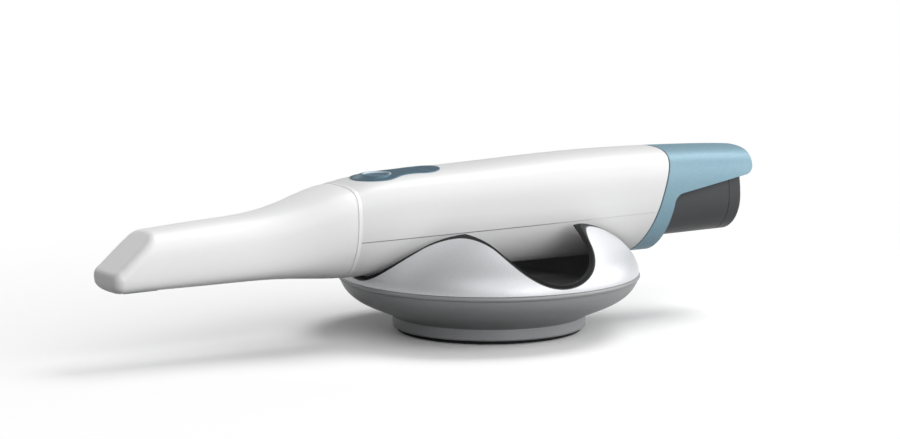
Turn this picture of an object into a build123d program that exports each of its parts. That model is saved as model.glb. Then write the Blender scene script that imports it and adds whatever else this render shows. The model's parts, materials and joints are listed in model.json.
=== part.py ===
from build123d import *
from functools import cache
from math import asin, atan2, cos, degrees, radians, sin, sqrt, tan
import os

# Cordless intraoral scanner lying in its round desktop stand, in millimetres.
# The stand stands on z = 0 with its centre at the origin, and x runs from the scanner's tip to its tail.
# The scanner is drawn in its own frame: x runs back from the tip's seat, y across, z up from its axis.

# Outer form of the scanner
TIP_LENGTH = 107.0
BODY_LENGTH = 193.0
CREST_AT = 0.52 * BODY_LENGTH
NOSE_WIDTH = 24.0
NOSE_TOP = 8.5
NOSE_DEPTH = 14.8
NOSE_WIDEST = -5.0
FRONT_WIDTH = 35.6
FRONT_TOP = 19.0
FRONT_DEPTH = 19.2
FRONT_WIDEST = 7.0
CREST_WIDTH = 40.0
CREST_TOP = 23.2
CREST_WIDEST = 2.5
TAIL_WIDTH = 38.2
TAIL_TOP = 19.3
TAIL_DEPTH = 22.2
TAIL_WIDEST = 0.5

# Fullness of the outline above and below its widest line: 0.55 is an ellipse, 1 is nearly square
NOSE_FULLNESS = (0.84, 0.92)
FRONT_FULLNESS = (0.86, 0.54)
CREST_FULLNESS = (0.81, 0.55)
TAIL_FULLNESS = (0.78, 0.55)

# How the form grows: (share of the way, share of the change in height, share of the change in width);
# the tip has one share for both
TIP_FLARE = (
    (0, 0), (0.16, 0.03), (0.33, 0.11), (0.52, 0.18), (0.67, 0.30), (0.79, 0.54), (0.905, 0.85), (1, 1),
)
GRIP_SWELL = ((0, 0, 0), (0.14, 0.57, 0.25), (0.45, 0.82, 0.60), (1, 1, 1))
TAIL_FALL = ((0.52, 0.25, 0.15), (0.78, 0.58, 0.50), (1, 1, 1))

# Tip
TIP_WALL = 1.6
NOSE_FACE_TOP = -7.0
NOSE_SLANT = 40.0
NOSE_WALL = 2.2
NOSE_RIM = 4.0
NOSE_EDGE = 4.0
FACET_LENGTH = 30.0
FACET_SLOPE = 3.8
FACET_DROP = 0.35
WINDOW_LENGTH = 15.0
WINDOW_WIDTH = 16.0
WINDOW_THICKNESS = 1.2
WINDOW_FRONT = 5.0
MIRROR_THICKNESS = 1.2
MIRROR_MARGIN = 2.6

# Nose tube under the tip
TUBE_LENGTH = 78.0
TUBE_WALL = 1.6
TUBE_CLEARANCE = 0.8
TUBE_BACK_GAP = 1.5
ROOT_RADIUS = 11.0
ROOT_WALL = 2.0
OPTICAL_Z = -3.2
GRIP_RING_AT = -8.0
GRIP_RING_WIDTH = 2.0
GRIP_RING_DEPTH = 0.8
GRIP_RING_CLEARANCE = 0.25
RELAY_LENS_AT = (-66.0, -45.0)
RELAY_LENS_EDGE = 2.0
RELAY_LENS_BULGE = 1.2
PANE_THICKNESS = 1.2
PANE_RECESS = 0.5

# Handle
HANDLE_WALL = 2.2
COLLAR_WIDTH = 1.7
COLLAR_PROUD = 0.15
SEAT_GAP = 0.06
PARTING_Z = -2.8
PARTING_GAP = 0.05
FACET_START = 3.0
FACET_END = 0.6 * BODY_LENGTH
FACET_DEPTH = 0.85
FACET_TILT = 20.0
SEAM_AT = BODY_LENGTH - 49.5
SEAM_SLANT = 20.0
SEAM_GAP = 0.2

# Control panel and buttons
LOBE_AT = 18.0
LOBE_RADIUS = 10.6
END_LOBE_AT = 38.5
END_LOBE_RADIUS = 8.5
NECK_RADIUS = 15.7
PANEL_DEPTH = 1.2
PANEL_PROUD = 0.3
MOUND_RISE = 0.5
MOUND_LAND = 0.4
MOUND_FALL = 1.6
BUTTON_AT = LOBE_AT
BUTTON_RADIUS = 5.6
BUTTON_TRAVEL = 0.8
BUTTON_SUNK = 0.5
BUTTON_DISH = 30.0
BUTTON_DISH_DEPTH = 0.5
RING_WALL = 0.6
RING_PROUD = 0.12
MODE_AT = END_LOBE_AT
MODE_RADIUS = 4.5
MODE_PROUD = 0.3
MODE_TRAVEL = 0.6
BUTTON_GAP = 0.2
BUTTON_THICKNESS = 1.7
STEM_RADIUS = 2.0

# Hood
HOOD_WALL = 1.6
BAND_LOW_AT = SEAM_AT + 2.6
BAND_HIGH_AT = SEAM_AT + 8.3
HOOD_CORNER_Z = 3.6
HOOD_EDGE_END_Z = 9.6
HOOD_CORNER_RADIUS = 5.0
HOOD_END_SLANT = 10.0
HOOD_END_TRIM = 0.3
BULKHEAD = 2.0
TONGUE_LENGTH = 4.0
TONGUE_WALL = 1.2
TONGUE_WIDTH = 24.0

# Battery
BAY_CLEARANCE = 0.4
BATTERY_DEPTH = 16.0
BATTERY_END = BODY_LENGTH - 7.0
CAP_LENGTH = 6.3
CAP_WALL = 2.0
CAP_EDGE = 1.2
CELL_RADIUS = 7.0
CELL_FRONT_WALL = 3.3
CELL_CLEARANCE = 0.2
CELL_PLACES = ((-7.4, 7.2), (7.4, 7.2), (0.0, -5.6))
PAD_THICKNESS = 0.5
PAD_HEIGHT = 4.0
PAD_WIDTH = 2.0
PIN_PITCH = 3.0
PIN_COUNT = 4
PIN_RADIUS = 0.7
PIN_REACH = 3.2
PIN_GAP = 0.3
PIN_ROOT = 1.0

# Chassis and what it carries
FIT = 0.05
CHASSIS_FRONT = 8.0
CHASSIS_BACK = 0.61 * BODY_LENGTH
CHASSIS_GAP = 0.4
PLATE_Z = -13.2
PLATE_THICKNESS = 2.0
PLATE_WIDTH = 15.0
FRAME_THICKNESS = 2.5
FRAME_TOP = 9.0
MIDDLE_FRAME_AT = 0.26 * BODY_LENGTH
BEAM_RADIUS = 6.8
CHASSIS_SCREW_X = (CHASSIS_FRONT + 8.0, CHASSIS_BACK - 15.5)
CHASSIS_SCREW_Y = 5.0
ROD_RADIUS = 1.0
ROD_SPREAD = 10.0
ROD_RUNNING_FIT = 0.06
CARRIAGE_AT = 0.157 * BODY_LENGTH
CARRIAGE_LENGTH = 10.0
CARRIAGE_RADIUS = 7.4
CARRIAGE_WEB = 3.0
EAR_RADIUS = 2.2
FOCUS_LENS_RADIUS = 6.0
FOCUS_LENS_EDGE = 2.5
FOCUS_LENS_BULGE = 1.2
COIL_LENGTH = 7.0
COIL_THICKNESS = 2.0
COIL_HEIGHT = 4.0
YOKE_GAP = 0.6
YOKE_LENGTH = 22.0
YOKE_WALL = 2.5
YOKE_WIDTH = 10.0
YOKE_TOP_THICKNESS = 1.5
SPLITTER_AT = 0.33 * BODY_LENGTH
SPLITTER_SIZE = 12.0
BRACKET_WALL = 1.2
BRACKET_LENGTH = 10.0
BRACKET_GAP = 0.2
BRACKET_ROOM = 1.4
COLLIMATOR_RADIUS = 5.2
COLLIMATOR_HEIGHT = 2.6
COLLIMATOR_BULGE = 1.4
LAMP_BARREL_HEIGHT = 4.2
LAMP_BARREL_WALL = 1.3
LAMP_BOARD = 14.0
LAMP_DIE_HEIGHT = 0.7
BOARD_THICKNESS = 1.2
CAMERA_START = 0.372 * BODY_LENGTH
CAMERA_LENGTH = 18.0
CAMERA_RADIUS = 6.5
CAMERA_WALL = 1.2
CAMERA_LENS_EDGE = 2.0
CAMERA_LENS_BULGE = 0.9
CRADLE_LENGTH = 4.0
SENSOR_SIZE = 8.0
SENSOR_THICKNESS = 1.0
SENSOR_GAP = 2.2
CAMERA_BOARD = 15.0
MAIN_BOARD_START = 0.303 * BODY_LENGTH
MAIN_BOARD_LENGTH = 0.283 * BODY_LENGTH
MAIN_BOARD_WIDTH = 22.0
MAIN_BOARD_Z = 13.2
BOARD_SCREW_INSET = 4.0
BOARD_SCREW_Y = 8.5
PROCESSOR_SIZE = 16.0
PROCESSOR_THICKNESS = 1.8
RADIO_LENGTH = 13.0
RADIO_WIDTH = 14.0
RADIO_THICKNESS = 2.4
RADIO_END_GAP = 1.0
SWITCH_BOARD_Z = 13.0
SWITCH_BOARD_WIDTH = 12.0
SWITCH_SIZE = 6.0
SWITCH_HEIGHT = 1.8
PLUNGER_HEIGHT = 0.5
PLUNGER_RADIUS = 1.6
BOSS_RADIUS = 2.2
SCREW_RADIUS = 0.9
SCREW_HEAD_RADIUS = 1.7
SCREW_HEAD = 1.0
SCREW_LENGTH = 4.0
CONTACT_BLOCK_LENGTH = 5.5
CONTACT_BLOCK_WIDTH = 14.0
CONTACT_BLOCK_HEIGHT = 8.0

# Stand; the bowl's curve is (share of the reach, share of the rise, lean of the wall in degrees)
STAND_RADIUS = 62.6
DOME_BASE = 23.6
DOME_RISE = 30.0
DOME_FULLNESS = 0.48
SHELL_WALL = 1.0
RIM_WALL = 2.1
LINER_WALL = 1.6
LINER_GAP = 0.1
LEDGE = 1.0
LIP = 1.2
NOTCH_Z = 27.0
NOTCH_RADIUS = 24.0
LOBE_ROUND = 8.5
LOBE_HALF_PITCH = 29.5
LINER_FLOOR = 15.5
LINER_FLAT_RADIUS = STAND_RADIUS - 14.6
BEAD_Z = DOME_BASE - 0.1
BEAD_HEIGHT = 2.0
BEAD_PROUD = 0.4
BEAD_SET_IN = 0.3
BOWL_WALL = 2.0
BOWL_CURVE = ((1, 1, 0), (0.81, 0.595, 41), (0.395, 0.267, 60), (0, 0, 72))
FOOT_RADIUS = 40.3
FOOT_TOP = 6.2
FOOT_EDGE = 1.0
PAD_Z = 1.2
FOOT_PAD_RADIUS = FOOT_RADIUS - 1.8
FLOOR_THICKNESS = 1.8
BALLAST_RADIUS = FOOT_RADIUS - BOWL_WALL - 2.3
BALLAST_THICKNESS = 5.0
STAND_BOSS_CIRCLE = BALLAST_RADIUS - 10.0
STAND_BOSS_RADIUS = 3.5
STAND_SCREW_RADIUS = 1.25
STAND_SCREW_HEAD_RADIUS = 2.6
STAND_SCREW_HEAD = 0.9
STAND_SCREW_LENGTH = 9.0

# Place of the scanner in the stand: its straight underside lies level just above the two notches
SEAT_X = -0.3715 * BODY_LENGTH
REST_GAP = 0.25
REST_PITCH = degrees(atan2(TAIL_DEPTH - FRONT_DEPTH, BODY_LENGTH))
SEAT_Z = NOTCH_Z + REST_GAP + FRONT_DEPTH * cos(radians(REST_PITCH))
AT_REST = Pos(SEAT_X, 0, SEAT_Z) * Rot(0, -REST_PITCH, 0)

# Levels that several pieces share
SLANT_NORMAL = Vector(-sin(radians(NOSE_SLANT)), 0, cos(radians(NOSE_SLANT)))
SLANT_ALONG = Vector(cos(radians(NOSE_SLANT)), 0, sin(radians(NOSE_SLANT)))
SLANT_FOOT = Vector(-TIP_LENGTH, 0, NOSE_FACE_TOP)
TUBE_INSET = TIP_WALL + TUBE_CLEARANCE
PLATE_TOP = PLATE_Z + PLATE_THICKNESS
BATTERY_FRONT = CHASSIS_BACK + CONTACT_BLOCK_LENGTH + PIN_REACH + PIN_GAP
CAP_AT = BATTERY_END - CAP_LENGTH
CELL_LENGTH = CAP_AT - BATTERY_FRONT - CELL_FRONT_WALL - 2 * CELL_CLEARANCE
BATTERY_TOP = TAIL_TOP - HOOD_WALL - BAY_CLEARANCE
BATTERY_WIDTH = TAIL_WIDTH - 2 * (HOOD_WALL + BAY_CLEARANCE)
PLUNGER_TOP = SWITCH_BOARD_Z + BOARD_THICKNESS + SWITCH_HEIGHT + PLUNGER_HEIGHT
BRACKET_Z = OPTICAL_Z + SPLITTER_SIZE / 2 + BRACKET_ROOM
LAMP_BOARD_Z = BRACKET_Z + BRACKET_WALL + LAMP_BARREL_HEIGHT
CAMERA_BOARD_AT = CAMERA_START + CAMERA_LENGTH + SENSOR_GAP + SENSOR_THICKNESS
FAR = 300.0


def mix(start, end, share):
    return start + (end - start) * share


def box(x0, x1, y0, y1, z0, z1):
    size = Box(x1 - x0, y1 - y0, z1 - z0)
    return Pos((x0 + x1) / 2, (y0 + y1) / 2, (z0 + z1) / 2) * size


def slab(start, end):
    return box(start, end, -FAR, FAR, -FAR, FAR)


def half_space(origin, normal):
    """Everything on the side of a plane that its normal points to."""
    return Plane(origin=origin, z_dir=normal) * (Pos(0, 0, FAR) * Box(4 * FAR, 4 * FAR, 2 * FAR))


def rod(start, end, radius, y=0.0, z=0.0):
    """A round bar along the scanner's axis."""
    bar = Cylinder(radius, end - start, align=(Align.CENTER, Align.CENTER, Align.MIN))
    return Pos(start, y, z) * Rot(0, 90, 0) * bar


def post(x, y, bottom, top, radius):
    """A round bar that stands upright."""
    bar = Cylinder(radius, top - bottom, align=(Align.CENTER, Align.CENTER, Align.MIN))
    return Pos(x, y, bottom) * bar


def quarter(reach, rise, fullness):
    """Four control points of a curve from the side of an outline to its top."""
    return [(reach, 0), (reach, fullness * rise), (fullness * reach, rise), (0, rise)]


def outline(station, inset=0.0):
    """Cross-section of the scanner at one station, taken in by a wall's thickness."""
    at, width, top, depth, widest, upper_fullness, lower_fullness = station
    half = width / 2 - inset
    upper = quarter(half, top - inset - widest, upper_fullness)
    lower = quarter(half, depth - inset + widest, lower_fullness)
    edges = [
        Bezier([(at, y, widest + z) for y, z in upper]),
        Bezier([(at, -y, widest + z) for y, z in reversed(upper)]),
        Bezier([(at, -y, widest - z) for y, z in lower]),
        Bezier([(at, y, widest - z) for y, z in reversed(lower)]),
    ]
    return make_face(edges)


def tip_stations():
    """The tip grows from its square nose to the oval of the handle."""
    stations = []
    for way, flare in TIP_FLARE:
        stations.append((
            -TIP_LENGTH * (1 - way),
            mix(NOSE_WIDTH, FRONT_WIDTH, flare),
            mix(NOSE_TOP, FRONT_TOP, flare),
            mix(NOSE_DEPTH, FRONT_DEPTH, flare),
            mix(NOSE_WIDEST, FRONT_WIDEST, flare),
            mix(NOSE_FULLNESS[0], FRONT_FULLNESS[0], flare),
            mix(NOSE_FULLNESS[1], FRONT_FULLNESS[1], flare),
        ))
    return stations


def body_station(at, ends, height, width):
    """A station between two named ends, on the straight underside."""
    (width0, top0, widest0, full0), (width1, top1, widest1, full1) = ends
    return (
        at,
        mix(width0, width1, width),
        mix(top0, top1, height),
        mix(FRONT_DEPTH, TAIL_DEPTH, at / BODY_LENGTH),
        mix(widest0, widest1, width),
        mix(full0[0], full1[0], width),
        mix(full0[1], full1[1], width),
    )


def body_stations():
    """The handle swells from the tip's seat to its crest and falls to the end of the hood."""
    front = (FRONT_WIDTH, FRONT_TOP, FRONT_WIDEST, FRONT_FULLNESS)
    crest = (CREST_WIDTH, CREST_TOP, CREST_WIDEST, CREST_FULLNESS)
    tail = (TAIL_WIDTH, TAIL_TOP, TAIL_WIDEST, TAIL_FULLNESS)
    stations = []
    for way, height, width in GRIP_SWELL:
        stations.append(body_station(CREST_AT * way, (front, crest), height, width))
    for way, height, width in TAIL_FALL:
        stations.append(body_station(mix(CREST_AT, BODY_LENGTH, way), (crest, tail), height, width))
    return stations


def skin(stations, inset=0.0):
    return loft([outline(station, inset) for station in stations])


@cache
def tip_skin(inset=0.0):
    return skin(tip_stations(), inset)


@cache
def body_skin(inset=0.0):
    return skin(body_stations(), inset)


def tip_room(at):
    """Radius that the tip leaves round the optical axis at a place along it."""
    stations = tip_stations()
    for ahead, behind in zip(stations, stations[1:]):
        if ahead[0] <= at <= behind[0]:
            share = (at - ahead[0]) / (behind[0] - ahead[0])
            width, depth = (mix(ahead[k], behind[k], share) for k in (1, 3))
            return min(width / 2, depth + OPTICAL_Z)
    raise ValueError("no station of the tip lies there")


def body_half_width(at, z):
    """Half the handle's width at a height below its widest line."""
    stations = body_stations()
    for ahead, behind in zip(stations, stations[1:]):
        if ahead[0] <= at <= behind[0]:
            share = (at - ahead[0]) / (behind[0] - ahead[0])
            width, depth, widest = (mix(ahead[k], behind[k], share) for k in (1, 3, 4))
            return width / 2 * sqrt(1 - ((widest - z) / (widest + depth)) ** 2)
    raise ValueError("no station of the handle lies there")


def body_floor(at, y):
    """Height of the handle's underside at a place along and across it."""
    depth = mix(FRONT_DEPTH, TAIL_DEPTH, at / BODY_LENGTH)
    return CREST_WIDEST - (CREST_WIDEST + depth) * sqrt(1 - (2 * y / CREST_WIDTH) ** 2)


@cache
def mound_level():
    """Height of the flat top of the mound round the scan button."""
    return (body_skin() & post(BUTTON_AT, 0, 0, FAR, FIT)).bounding_box().max.Z + MOUND_RISE


def slant_cut(inset=0.0):
    return half_space(SLANT_FOOT - SLANT_NORMAL * inset, SLANT_NORMAL)


def facet_cut():
    """Shallow flat on top of the tip, just behind the slanted face."""
    tilt = radians(FACET_SLOPE)
    start = Vector(-TIP_LENGTH + FACET_LENGTH / 2, 0, NOSE_TOP + FACET_DROP)
    return half_space(start, (-sin(tilt), 0, cos(tilt))) & slab(-FAR, -TIP_LENGTH + FACET_LENGTH)


def seam_space(offset):
    """Everything behind the slanted seam between handle and hood."""
    slant = radians(SEAM_SLANT)
    return half_space((SEAM_AT + offset, 0, 0), (cos(slant), 0, -sin(slant)))


def lens(at, radius, edge, bulge, z=OPTICAL_Z):
    """Lens bulging on both sides, with its axis along the scanner."""
    with BuildPart() as made:
        with BuildSketch(Plane.XZ):
            with BuildLine():
                RadiusArc((-edge / 2, radius), (-edge / 2, -radius), -lens_curve(radius, bulge))
                Line((-edge / 2, -radius), (edge / 2, -radius))
                RadiusArc((edge / 2, -radius), (edge / 2, radius), -lens_curve(radius, bulge))
                Line((edge / 2, radius), (-edge / 2, radius))
            make_face()
            split(bisect_by=Plane.XZ, keep=Keep.TOP)
        revolve(axis=Axis.X)
    return Pos(at, 0, z) * made.part


def lens_curve(radius, bulge):
    return (radius ** 2 + bulge ** 2) / (2 * bulge)


def window_hole(gap, bottom, top):
    front = -TIP_LENGTH + WINDOW_FRONT
    half = WINDOW_WIDTH / 2 - gap
    return box(front + gap, front + WINDOW_LENGTH - gap, -half, half, bottom, top)


def tip_shell():
    end = tip_skin().faces().sort_by(Axis.X)[0]
    outside = fillet(end.edges(), NOSE_RIM) - slant_cut() - facet_cut()
    face = outside.faces().sort_by(Axis(SLANT_FOOT, SLANT_NORMAL))[-1]
    outside = fillet(face.edges(), NOSE_EDGE)
    hollow = tip_skin(TIP_WALL) & slab(-TIP_LENGTH + NOSE_WALL, FAR)
    hollow = hollow - slant_cut(NOSE_WALL)
    return outside - hollow - window_hole(0, -FAR, NOSE_WIDEST)


def tip_window():
    bottom = -NOSE_DEPTH + (TIP_WALL - WINDOW_THICKNESS) / 2
    return window_hole(FIT, bottom, bottom + WINDOW_THICKNESS)


def tip_mirror():
    """Mirror glued behind the slanted face, which turns the view down through the window."""
    face_length = (NOSE_TOP - NOSE_FACE_TOP - NOSE_WALL) / sin(radians(NOSE_SLANT))
    length = face_length - 2 * MIRROR_MARGIN
    width = NOSE_WIDTH - 2 * TIP_WALL - 2 * MIRROR_MARGIN
    middle = SLANT_FOOT + SLANT_ALONG * (face_length / 2) - SLANT_NORMAL * NOSE_WALL
    plate = Box(length, width, MIRROR_THICKNESS, align=(Align.CENTER, Align.CENTER, Align.MAX))
    return Plane(origin=middle, x_dir=SLANT_ALONG, z_dir=SLANT_NORMAL) * plate


def grip_groove(outer_inset):
    start = GRIP_RING_AT - GRIP_RING_WIDTH / 2
    band = tip_skin(outer_inset) & slab(start, start + GRIP_RING_WIDTH)
    return band - tip_skin(TUBE_INSET + GRIP_RING_DEPTH)


def nose_tube():
    """Tapered tube that carries the tip, with a round root through the collar."""
    web = -TUBE_BACK_GAP - ROOT_WALL
    tube = tip_skin(TUBE_INSET) & slab(-TUBE_LENGTH, -TUBE_BACK_GAP)
    tube = tube - (tip_skin(TUBE_INSET + TUBE_WALL) & slab(-FAR, web))
    tube = tube + rod(web, CHASSIS_FRONT - FIT, ROOT_RADIUS, z=OPTICAL_Z)
    tube = tube - rod(web - FIT, CHASSIS_FRONT, ROOT_RADIUS - ROOT_WALL, z=OPTICAL_Z)
    return tube - grip_groove(0)


def grip_ring():
    return grip_groove(TIP_WALL + GRIP_RING_CLEARANCE)


def nose_pane():
    start = -TUBE_LENGTH + PANE_RECESS
    return tip_skin(TUBE_INSET + TUBE_WALL + FIT) & slab(start, start + PANE_THICKNESS)


def relay_lens(at):
    radius = tip_room(at) - TUBE_INSET - TUBE_WALL - 4 * FIT
    return lens(at, radius, RELAY_LENS_EDGE, RELAY_LENS_BULGE)


def collar_ring():
    ring = body_skin(-COLLAR_PROUD) & slab(SEAT_GAP, COLLAR_WIDTH)
    return ring - rod(-FAR, FAR, ROOT_RADIUS + FIT, z=OPTICAL_Z)


def handle_wall():
    wall = body_skin() - body_skin(HANDLE_WALL)
    return (wall & slab(COLLAR_WIDTH + FIT, FAR)) - seam_space(0)


def spoon(gap):
    """Plan of the control panel: two round lobes joined by hollow flanks, made larger by a gap."""
    front, end, neck = LOBE_RADIUS + gap, END_LOBE_RADIUS + gap, NECK_RADIUS - gap
    apart = END_LOBE_AT - LOBE_AT
    along = ((front + neck) ** 2 - (end + neck) ** 2 + apart ** 2) / (2 * apart)
    across = sqrt((front + neck) ** 2 - along ** 2)
    neck_at = Vector(LOBE_AT + along, across)
    lobe_at = Vector(LOBE_AT, 0)
    end_at = Vector(END_LOBE_AT, 0)
    leave = lobe_at + (neck_at - lobe_at) * (front / (front + neck))
    join = end_at + (neck_at - end_at) * (end / (end + neck))
    flank = neck_at - Vector(0, neck)
    edges = [
        ThreePointArc((leave.X, -leave.Y), (LOBE_AT - front, 0), leave),
        ThreePointArc(leave, flank, join),
        ThreePointArc(join, (END_LOBE_AT + end, 0), (join.X, -join.Y)),
        ThreePointArc((join.X, -join.Y), (flank.X, -flank.Y), (leave.X, -leave.Y)),
    ]
    return extrude(make_face(edges), FAR)


def roof_bosses():
    """Posts that hang from the upper shell for the main board and the switch board."""
    posts = [post(x, y, MAIN_BOARD_Z + BOARD_THICKNESS, FAR, BOSS_RADIUS) for x, y in board_screw_places()]
    middle = (BUTTON_AT + MODE_AT) / 2
    for y in (-SWITCH_BOARD_WIDTH / 3, SWITCH_BOARD_WIDTH / 3):
        posts.append(post(middle, y, SWITCH_BOARD_Z + BOARD_THICKNESS, FAR, BOSS_RADIUS))
    return posts


def board_screw_places():
    first = MAIN_BOARD_START + BOARD_SCREW_INSET
    last = MAIN_BOARD_START + MAIN_BOARD_LENGTH - BOARD_SCREW_INSET
    return [(x, y) for x in (first, last) for y in (-BOARD_SCREW_Y, BOARD_SCREW_Y)]


def handle_upper_shell():
    shell = handle_wall() - box(-FAR, FAR, -FAR, FAR, -FAR, PARTING_Z)
    roof = body_skin(HANDLE_WALL / 2)
    shell = shell + [boss & roof for boss in roof_bosses()]
    shell = shell - (spoon(FIT) - body_skin(PANEL_DEPTH + FIT))
    shell = shell - post(BUTTON_AT, 0, 0, FAR, BUTTON_RADIUS + BUTTON_GAP + RING_WALL / 3)
    shell = shell - post(MODE_AT, 0, 0, FAR, MODE_RADIUS + BUTTON_GAP)
    for x, y in board_screw_places():
        shell = shell - post(x, y, 0, MAIN_BOARD_Z + SCREW_LENGTH + FIT, SCREW_RADIUS)
    return shell


def side_facet(side):
    """Flat cut under the side crease, deepest at its middle and running out at both ends."""
    middle = (FACET_START + FACET_END) / 2
    inner = ThreePointArc(
        (FACET_START, side * body_half_width(FACET_START, PARTING_Z), PARTING_Z),
        (middle, side * (body_half_width(middle, PARTING_Z) - FACET_DEPTH), PARTING_Z),
        (FACET_END, side * body_half_width(FACET_END, PARTING_Z), PARTING_Z),
    )
    outer = Polyline(
        inner @ 1,
        (FACET_END, side * CREST_WIDTH, PARTING_Z),
        (FACET_START, side * CREST_WIDTH, PARTING_Z),
        inner @ 0,
    )
    tilt = radians(FACET_TILT)
    return extrude(make_face([inner, outer]), CREST_TOP, dir=(0, -side * sin(tilt), -cos(tilt)))


def chassis_screw_places():
    return [(x, y) for x in CHASSIS_SCREW_X for y in (-CHASSIS_SCREW_Y, CHASSIS_SCREW_Y)]


def handle_lower_shell():
    shell = handle_wall() - box(-FAR, FAR, -FAR, FAR, PARTING_Z - PARTING_GAP, FAR)
    for x, y in chassis_screw_places():
        shell = shell + post(x, y, body_floor(x, y) + HANDLE_WALL / 2, PLATE_Z, BOSS_RADIUS)
        shell = shell - post(x, y, PLATE_TOP - SCREW_LENGTH - FIT, PLATE_Z, SCREW_RADIUS)
    return shell - side_facet(-1) - side_facet(1)


def control_panel():
    """Panel that lies on the handle and rises in a low mound to the ring round the scan button."""
    land = BUTTON_RADIUS + BUTTON_GAP + RING_WALL + MOUND_LAND
    mound = Cone(LOBE_RADIUS, land, MOUND_FALL, align=(Align.CENTER, Align.CENTER, Align.MAX))
    surface = body_skin(-PANEL_PROUD) + Pos(BUTTON_AT, 0, mound_level()) * mound
    panel = (spoon(0) & surface) - body_skin(PANEL_DEPTH)
    panel = panel - post(BUTTON_AT, 0, 0, FAR, BUTTON_RADIUS + BUTTON_GAP + RING_WALL)
    return panel - post(MODE_AT, 0, 0, FAR, MODE_RADIUS + BUTTON_GAP)


def light_ring():
    top = mound_level() + RING_PROUD
    ring = post(BUTTON_AT, 0, 0, top, BUTTON_RADIUS + BUTTON_GAP + RING_WALL)
    ring = ring - post(BUTTON_AT, 0, 0, top, BUTTON_RADIUS + BUTTON_GAP)
    return ring - body_skin(PANEL_DEPTH)


def stem(at, travel):
    """Stem of a button, which ends just above its switch."""
    return post(at, 0, PLUNGER_TOP + travel + FIT, FAR, STEM_RADIUS) & body_skin(BUTTON_THICKNESS / 2)


def scan_button():
    """Dished cap that sits a little below the ring round it."""
    top = mound_level() - BUTTON_SUNK
    cap = post(BUTTON_AT, 0, 0, top, BUTTON_RADIUS) - body_skin(BUTTON_THICKNESS)
    dish = Pos(BUTTON_AT, 0, top + BUTTON_DISH - BUTTON_DISH_DEPTH) * Sphere(BUTTON_DISH)
    return cap + stem(BUTTON_AT, BUTTON_TRAVEL) - dish


def mode_button():
    """Cap that follows the surface of the panel."""
    cap = post(MODE_AT, 0, 0, FAR, MODE_RADIUS) & body_skin(-MODE_PROUD)
    return cap - body_skin(BUTTON_THICKNESS) + stem(MODE_AT, MODE_TRAVEL)


def switch_board():
    half = SWITCH_BOARD_WIDTH / 2
    start, end = BUTTON_AT - SWITCH_SIZE, MODE_AT + SWITCH_SIZE
    return box(start, end, -half, half, SWITCH_BOARD_Z, SWITCH_BOARD_Z + BOARD_THICKNESS)


def switches():
    base = SWITCH_BOARD_Z + BOARD_THICKNESS
    made = []
    for at in (BUTTON_AT, MODE_AT):
        half = SWITCH_SIZE / 2
        body = box(at - half, at + half, -half, half, base, base + SWITCH_HEIGHT)
        made.append(body + post(at, 0, base, PLUNGER_TOP, PLUNGER_RADIUS))
    return Compound(made)


def hood_cut(forward=0.0):
    """Side view of the room behind the band, below the hood and behind its leaning end."""
    lean = tan(radians(HOOD_END_SLANT))
    end = BODY_LENGTH - HOOD_END_TRIM
    path = FilletPolyline(
        (BAND_LOW_AT - forward, -TAIL_DEPTH),
        (BAND_HIGH_AT - forward, HOOD_CORNER_Z),
        (end - (TAIL_TOP - HOOD_EDGE_END_Z) * lean, HOOD_EDGE_END_Z),
        (end + TAIL_TOP * lean, 2 * TAIL_TOP),
        radius=HOOD_CORNER_RADIUS + forward,
    )
    close = Polyline(
        path @ 1,
        (2 * BODY_LENGTH, 2 * TAIL_TOP),
        (2 * BODY_LENGTH, -3 * TAIL_DEPTH),
        (BAND_LOW_AT - forward, -3 * TAIL_DEPTH),
        path @ 0,
    )
    return extrude(Plane.XZ * make_face([path, close]), FAR, both=True)


def battery_block(start, end, grow=0.0):
    """The battery's own section, drawn out straight so that it slides along the bay."""
    station = (start, BATTERY_WIDTH, BATTERY_TOP, BATTERY_DEPTH, TAIL_WIDEST, *TAIL_FULLNESS)
    return extrude(outline(station, -grow), end - start, dir=(1, 0, 0))


def rear_hood():
    """Visor over the battery, with a band round the handle and a bulkhead that guides the battery."""
    outside = (body_skin() & seam_space(SEAM_GAP)) - hood_cut()
    bulkhead = outside & hood_cut(BULKHEAD) & box(-FAR, FAR, -FAR, FAR, -FAR, HOOD_CORNER_Z)
    hood = outside - body_skin(HOOD_WALL) + bulkhead + tongues()
    return hood - battery_block(0, FAR, BAY_CLEARANCE)


def tongues():
    """Two tongues, above and below the battery, that hold the hood in the end of the handle."""
    inner = body_skin(HANDLE_WALL + FIT + TONGUE_WALL)
    reach = (body_skin(HANDLE_WALL + FIT) - inner) & seam_space(-TONGUE_LENGTH)
    root = (body_skin(HOOD_WALL / 2) - inner) & seam_space(SEAM_GAP)
    strip = box(-FAR, FAR, -TONGUE_WIDTH / 2, TONGUE_WIDTH / 2, -FAR, FAR)
    return ((reach + root) & strip) - seam_space(TONGUE_LENGTH / 2)


def pin_places():
    return [PIN_PITCH * (count - (PIN_COUNT - 1) / 2) for count in range(PIN_COUNT)]


def pads():
    half = PAD_WIDTH / 2
    rise = PAD_HEIGHT / 2
    return [
        box(BATTERY_FRONT, BATTERY_FRONT + PAD_THICKNESS, y - half, y + half, -rise, rise)
        for y in pin_places()
    ]


def cells(gap):
    start = CAP_AT - CELL_LENGTH - 2 * CELL_CLEARANCE
    return [rod(start - gap, CAP_AT - CELL_CLEARANCE + gap, CELL_RADIUS + gap, y, z) for y, z in CELL_PLACES]


def battery_case():
    case = battery_block(BATTERY_FRONT, CAP_AT)
    return case - cells(CELL_CLEARANCE) - pads()


def battery_end_cap():
    cap = battery_block(CAP_AT + CELL_CLEARANCE, BATTERY_END)
    cap = fillet(cap.faces().sort_by(Axis.X)[-1].edges(), CAP_EDGE)
    return cap - battery_block(0, BATTERY_END - CAP_WALL, -CAP_WALL)


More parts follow.
